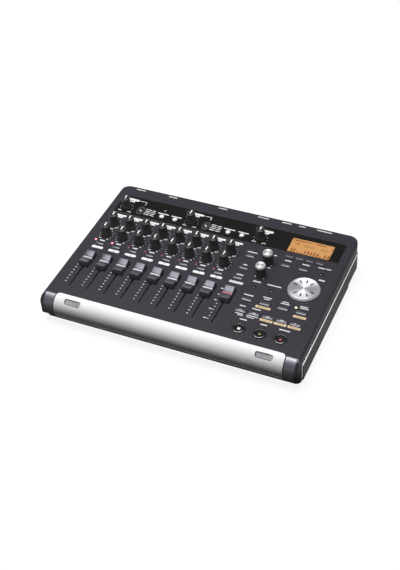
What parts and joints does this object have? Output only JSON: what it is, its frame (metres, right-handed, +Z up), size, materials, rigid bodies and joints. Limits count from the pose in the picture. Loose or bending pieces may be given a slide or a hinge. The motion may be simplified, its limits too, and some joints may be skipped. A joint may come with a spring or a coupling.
{
  "type": "digital multitrack recorder",
  "caption": "Desktop multitrack audio recorder with channel faders and knobs on a sloping deck, an amber display, a jog wheel, round transport buttons and a silver front roll.",
  "frame": {"origin": "On the table under the middle of the recorder's bounding box.", "axes": "+X to the right of the user, +Y away from the user towards the rear sockets, +Z up."},
  "size_m": [0.2962, 0.2148, 0.0528],
  "materials": {
    "case_plastic": "fine textured, dark grey",
    "silver_bar": "satin silver",
    "grille_metal": "fine grey mesh",
    "gloss_black": "polished black",
    "amber_window": "clear, lit amber from behind",
    "black_metal": "satin black",
    "board": "circuit board",
    "component_black": "moulded black",
    "lamp_red": "red light pipe",
    "socket_brass": "plated",
    "foot_rubber": "matte black",
    "screw_steel": "plated",
    "silver_plastic": "spun silver finish",
    "white_plastic": "white",
    "fader_grey": "satin grey blue",
    "key_grey": "satin grey blue",
    "knob_black": "satin black"
  },
  "bodies": {
    "case": {"bottom_shell": "case_plastic", "top_shell": "case_plastic", "front_bar": "silver_bar", "mic_grilles": "grille_metal", "gloss_panel": "gloss_black", "display_window": "amber_window", "display_module": "amber_window", "rear_panel": "black_metal", "control_board": "board", "main_board": "board", "pot_bodies": "component_black", "fader_bodies": "component_black", "key_switches": "component_black", "lamps": "lamp_red", "input_sockets": "component_black", "jack_sockets": "component_black", "line_sockets": "socket_brass", "feet": "foot_rubber", "case_screws": "screw_steel"},
    "fader_cap_1": {"fader_cap_1": "fader_grey"},
    "fader_cap_2": {"fader_cap_2": "fader_grey"},
    "fader_cap_3": {"fader_cap_3": "fader_grey"},
    "fader_cap_4": {"fader_cap_4": "fader_grey"},
    "fader_cap_5": {"fader_cap_5": "fader_grey"},
    "fader_cap_6": {"fader_cap_6": "fader_grey"},
    "fader_cap_7": {"fader_cap_7": "fader_grey"},
    "fader_cap_8": {"fader_cap_8": "fader_grey"},
    "master_cap": {"master_cap": "fader_grey"},
    "effect_knob_1": {"effect_knob_1": "knob_black"},
    "effect_knob_2": {"effect_knob_2": "knob_black"},
    "effect_knob_3": {"effect_knob_3": "knob_black"},
    "effect_knob_4": {"effect_knob_4": "knob_black"},
    "effect_knob_5": {"effect_knob_5": "knob_black"},
    "effect_knob_6": {"effect_knob_6": "knob_black"},
    "effect_knob_7": {"effect_knob_7": "knob_black"},
    "effect_knob_8": {"effect_knob_8": "knob_black"},
    "pan_knob_1": {"pan_knob_1": "knob_black"},
    "pan_knob_2": {"pan_knob_2": "knob_black"},
    "pan_knob_3": {"pan_knob_3": "knob_black"},
    "pan_knob_4": {"pan_knob_4": "knob_black"},
    "pan_knob_5": {"pan_knob_5": "knob_black"},
    "pan_knob_6": {"pan_knob_6": "knob_black"},
    "pan_knob_7": {"pan_knob_7": "knob_black"},
    "pan_knob_8": {"pan_knob_8": "knob_black"},
    "trim_knob_a": {"trim_knob_a": "knob_black"},
    "trim_knob_b": {"trim_knob_b": "knob_black"},
    "level_knob": {"level_knob": "knob_black"},
    "silver_knob_lower": {"silver_knob_lower": "silver_plastic"},
    "silver_knob_upper": {"silver_knob_upper": "silver_plastic"},
    "jog_wheel": {"jog_wheel": "silver_plastic"},
    "stop_button": {"stop_button": "gloss_black"},
    "play_button": {"play_button": "gloss_black"},
    "record_button": {"record_button": "gloss_black"},
    "arm_keys": {"arm_keys": "key_grey"},
    "transport_keys": {"transport_keys": "key_grey"},
    "mode_keys": {"mode_keys": "key_grey"},
    "mixer_keys": {"mixer_keys": "key_grey"},
    "menu_keys": {"menu_keys": "key_grey"},
    "input_buttons": {"input_buttons": "white_plastic"},
    "input_selectors": {"input_selectors": "white_plastic"}
  },
  "joints": [
    {"name": "fader_cap_1_slide", "type": "slide", "parent": "case", "child": "fader_cap_1", "axis": [0, 0.9997, 0.0239], "range_m": [-0.0381, 0.0088]},
    {"name": "fader_cap_2_slide", "type": "slide", "parent": "case", "child": "fader_cap_2", "axis": [0, 0.9997, 0.0239], "range_m": [-0.0381, 0.0088]},
    {"name": "fader_cap_3_slide", "type": "slide", "parent": "case", "child": "fader_cap_3", "axis": [0, 0.9997, 0.0239], "range_m": [-0.0381, 0.0088]},
    {"name": "fader_cap_4_slide", "type": "slide", "parent": "case", "child": "fader_cap_4", "axis": [0, 0.9997, 0.0239], "range_m": [-0.0381, 0.0088]},
    {"name": "fader_cap_5_slide", "type": "slide", "parent": "case", "child": "fader_cap_5", "axis": [0, 0.9997, 0.0239], "range_m": [-0.0381, 0.0088]},
    {"name": "fader_cap_6_slide", "type": "slide", "parent": "case", "child": "fader_cap_6", "axis": [0, 0.9997, 0.0239], "range_m": [-0.0381, 0.0088]},
    {"name": "fader_cap_7_slide", "type": "slide", "parent": "case", "child": "fader_cap_7", "axis": [0, 0.9997, 0.0239], "range_m": [-0.0381, 0.0088]},
    {"name": "fader_cap_8_slide", "type": "slide", "parent": "case", "child": "fader_cap_8", "axis": [0, 0.9997, 0.0239], "range_m": [-0.0381, 0.0088]},
    {"name": "master_cap_slide", "type": "slide", "parent": "case", "child": "master_cap", "axis": [0, 0.9997, 0.0239], "range_m": [-0.0381, 0.0088]},
    {"name": "effect_knob_1_turn", "type": "hinge", "parent": "case", "child": "effect_knob_1", "pos_m": [-0.12465, 0.03, 0.03694], "axis": [0, -0.0239, 0.9997], "range_deg": [-150, 150]},
    {"name": "effect_knob_2_turn", "type": "hinge", "parent": "case", "child": "effect_knob_2", "pos_m": [-0.1039, 0.03, 0.03694], "axis": [0, -0.0239, 0.9997], "range_deg": [-150, 150]},
    {"name": "effect_knob_3_turn", "type": "hinge", "parent": "case", "child": "effect_knob_3", "pos_m": [-0.08315, 0.03, 0.03694], "axis": [0, -0.0239, 0.9997], "range_deg": [-150, 150]},
    {"name": "effect_knob_4_turn", "type": "hinge", "parent": "case", "child": "effect_knob_4", "pos_m": [-0.0624, 0.03, 0.03694], "axis": [0, -0.0239, 0.9997], "range_deg": [-150, 150]},
    {"name": "effect_knob_5_turn", "type": "hinge", "parent": "case", "child": "effect_knob_5", "pos_m": [-0.04165, 0.03, 0.03694], "axis": [0, -0.0239, 0.9997], "range_deg": [-150, 150]},
    {"name": "effect_knob_6_turn", "type": "hinge", "parent": "case", "child": "effect_knob_6", "pos_m": [-0.0209, 0.03, 0.03694], "axis": [0, -0.0239, 0.9997], "range_deg": [-150, 150]},
    {"name": "effect_knob_7_turn", "type": "hinge", "parent": "case", "child": "effect_knob_7", "pos_m": [-0.00015, 0.03, 0.03694], "axis": [0, -0.0239, 0.9997], "range_deg": [-150, 150]},
    {"name": "effect_knob_8_turn", "type": "hinge", "parent": "case", "child": "effect_knob_8", "pos_m": [0.0206, 0.03, 0.03694], "axis": [0, -0.0239, 0.9997], "range_deg": [-150, 150]},
    {"name": "pan_knob_1_turn", "type": "hinge", "parent": "case", "child": "pan_knob_1", "pos_m": [-0.12465, 0.0097, 0.03645], "axis": [0, -0.0239, 0.9997], "range_deg": [-150, 150]},
    {"name": "pan_knob_2_turn", "type": "hinge", "parent": "case", "child": "pan_knob_2", "pos_m": [-0.1039, 0.0097, 0.03645], "axis": [0, -0.0239, 0.9997], "range_deg": [-150, 150]},
    {"name": "pan_knob_3_turn", "type": "hinge", "parent": "case", "child": "pan_knob_3", "pos_m": [-0.08315, 0.0097, 0.03645], "axis": [0, -0.0239, 0.9997], "range_deg": [-150, 150]},
    {"name": "pan_knob_4_turn", "type": "hinge", "parent": "case", "child": "pan_knob_4", "pos_m": [-0.0624, 0.0097, 0.03645], "axis": [0, -0.0239, 0.9997], "range_deg": [-150, 150]},
    {"name": "pan_knob_5_turn", "type": "hinge", "parent": "case", "child": "pan_knob_5", "pos_m": [-0.04165, 0.0097, 0.03645], "axis": [0, -0.0239, 0.9997], "range_deg": [-150, 150]},
    {"name": "pan_knob_6_turn", "type": "hinge", "parent": "case", "child": "pan_knob_6", "pos_m": [-0.0209, 0.0097, 0.03645], "axis": [0, -0.0239, 0.9997], "range_deg": [-150, 150]},
    {"name": "pan_knob_7_turn", "type": "hinge", "parent": "case", "child": "pan_knob_7", "pos_m": [-0.00015, 0.0097, 0.03645], "axis": [0, -0.0239, 0.9997], "range_deg": [-150, 150]},
    {"name": "pan_knob_8_turn", "type": "hinge", "parent": "case", "child": "pan_knob_8", "pos_m": [0.0206, 0.0097, 0.03645], "axis": [0, -0.0239, 0.9997], "range_deg": [-150, 150]},
    {"name": "trim_knob_a_turn", "type": "hinge", "parent": "case", "child": "trim_knob_a", "pos_m": [-0.12465, 0.0613, 0.03768], "axis": [0, -0.0239, 0.9997], "range_deg": [-150, 150]},
    {"name": "trim_knob_b_turn", "type": "hinge", "parent": "case", "child": "trim_knob_b", "pos_m": [-0.04165, 0.0613, 0.03768], "axis": [0, -0.0239, 0.9997], "range_deg": [-150, 150]},
    {"name": "level_knob_turn", "type": "hinge", "parent": "case", "child": "level_knob", "pos_m": [0.0432, 0.0613, 0.03768], "axis": [0, -0.0239, 0.9997], "range_deg": [-150, 150]},
    {"name": "silver_knob_lower_turn", "type": "hinge", "parent": "case", "child": "silver_knob_lower", "pos_m": [0.06485, 0.006, 0.03636], "axis": [0, -0.0239, 0.9997], "range_deg": [-150, 150]},
    {"name": "silver_knob_upper_turn", "type": "hinge", "parent": "case", "child": "silver_knob_upper", "pos_m": [0.06485, 0.0275, 0.03687], "axis": [0, -0.0239, 0.9997], "range_deg": [-150, 150]},
    {"name": "jog_wheel_spin", "type": "hinge", "parent": "case", "child": "jog_wheel", "pos_m": [0.11625, -0.001, 0.03619], "axis": [0, -0.0239, 0.9997], "continuous": true},
    {"name": "stop_button_press", "type": "slide", "parent": "case", "child": "stop_button", "axis": [0, -0.0239, 0.9997], "range_m": [-0.0008, 0], "stiffness_N_per_m": 300, "springref_m": 0.0015},
    {"name": "play_button_press", "type": "slide", "parent": "case", "child": "play_button", "axis": [0, -0.0239, 0.9997], "range_m": [-0.0008, 0], "stiffness_N_per_m": 300, "springref_m": 0.0015},
    {"name": "record_button_press", "type": "slide", "parent": "case", "child": "record_button", "axis": [0, -0.0239, 0.9997], "range_m": [-0.0008, 0], "stiffness_N_per_m": 300, "springref_m": 0.0015},
    {"name": "arm_keys_press", "type": "slide", "parent": "case", "child": "arm_keys", "axis": [0, -0.0239, 0.9997], "range_m": [-0.0008, 0], "stiffness_N_per_m": 300, "springref_m": 0.0015},
    {"name": "transport_keys_press", "type": "slide", "parent": "case", "child": "transport_keys", "axis": [0, -0.0239, 0.9997], "range_m": [-0.0008, 0], "stiffness_N_per_m": 300, "springref_m": 0.0015},
    {"name": "mode_keys_press", "type": "slide", "parent": "case", "child": "mode_keys", "axis": [0, -0.0239, 0.9997], "range_m": [-0.0008, 0], "stiffness_N_per_m": 300, "springref_m": 0.0015},
    {"name": "mixer_keys_press", "type": "slide", "parent": "case", "child": "mixer_keys", "axis": [0, -0.0239, 0.9997], "range_m": [-0.0008, 0], "stiffness_N_per_m": 300, "springref_m": 0.0015},
    {"name": "menu_keys_press", "type": "slide", "parent": "case", "child": "menu_keys", "axis": [0, -0.0239, 0.9997], "range_m": [-0.0008, 0], "stiffness_N_per_m": 300, "springref_m": 0.0015},
    {"name": "input_buttons_press", "type": "slide", "parent": "case", "child": "input_buttons", "axis": [0, -0.0239, 0.9997], "range_m": [-0.0008, 0], "stiffness_N_per_m": 300, "springref_m": 0.0015},
    {"name": "input_selectors_slide", "type": "slide", "parent": "case", "child": "input_selectors", "axis": [0, 0.9997, 0.0239], "range_m": [-0.0015, 0.0015]}
  ]
}
